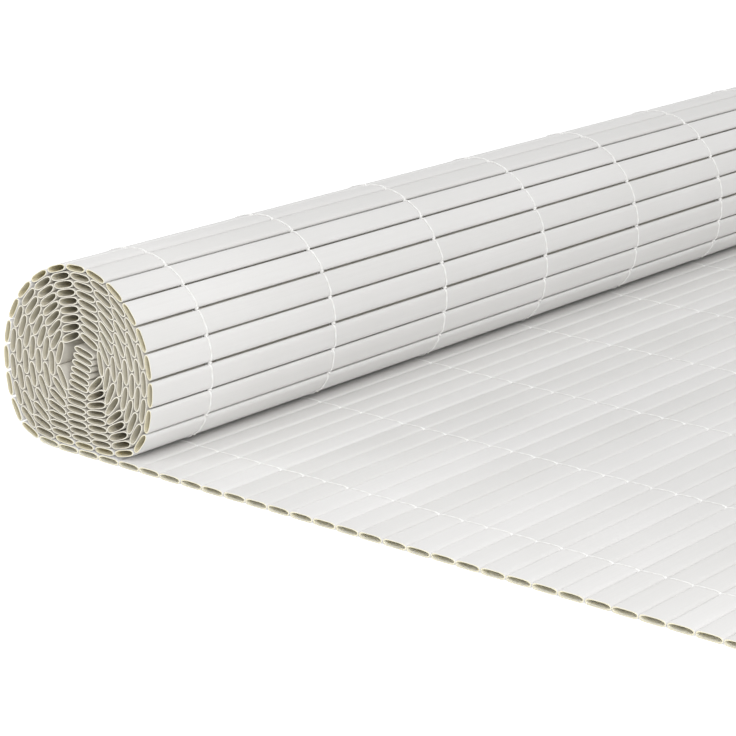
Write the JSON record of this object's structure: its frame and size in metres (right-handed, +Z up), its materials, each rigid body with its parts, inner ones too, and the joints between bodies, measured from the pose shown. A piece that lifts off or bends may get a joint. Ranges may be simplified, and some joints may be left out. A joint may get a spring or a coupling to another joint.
{
  "type": "pvc privacy screen",
  "caption": "Slatted PVC privacy screen, part rolled: hollow lens-section slats bound side by side by rows of thread, most in a roll and the free end lying flat.",
  "frame": {"origin": "on the ground under the middle of the screen as it lies", "axes": "+X along the slats, +Y along the mat from the roll towards the free end, +Z up"},
  "size_m": [1, 0.8548, 0.1156],
  "materials": {
    "slat_pvc": "semi-matte extruded PVC",
    "binding_thread": "twisted nylon thread"
  },
  "bodies": {
    "root": {"flat_run_slats": "slat_pvc", "folded_core_slats": "slat_pvc", "turn_1_slats": "slat_pvc", "turn_2_slats": "slat_pvc", "turn_3_slats": "slat_pvc", "turn_4_slats": "slat_pvc", "turn_5_slats": "slat_pvc", "turn_6_slats": "slat_pvc", "turn_7_slats": "slat_pvc", "turn_8_slats": "slat_pvc", "turn_9_slats": "slat_pvc", "binding_thread_1": "binding_thread", "binding_thread_2": "binding_thread", "binding_thread_3": "binding_thread", "binding_thread_4": "binding_thread", "binding_thread_5": "binding_thread", "binding_thread_6": "binding_thread", "binding_thread_7": "binding_thread", "binding_thread_8": "binding_thread", "binding_thread_9": "binding_thread"}
  },
  "joints": []
}
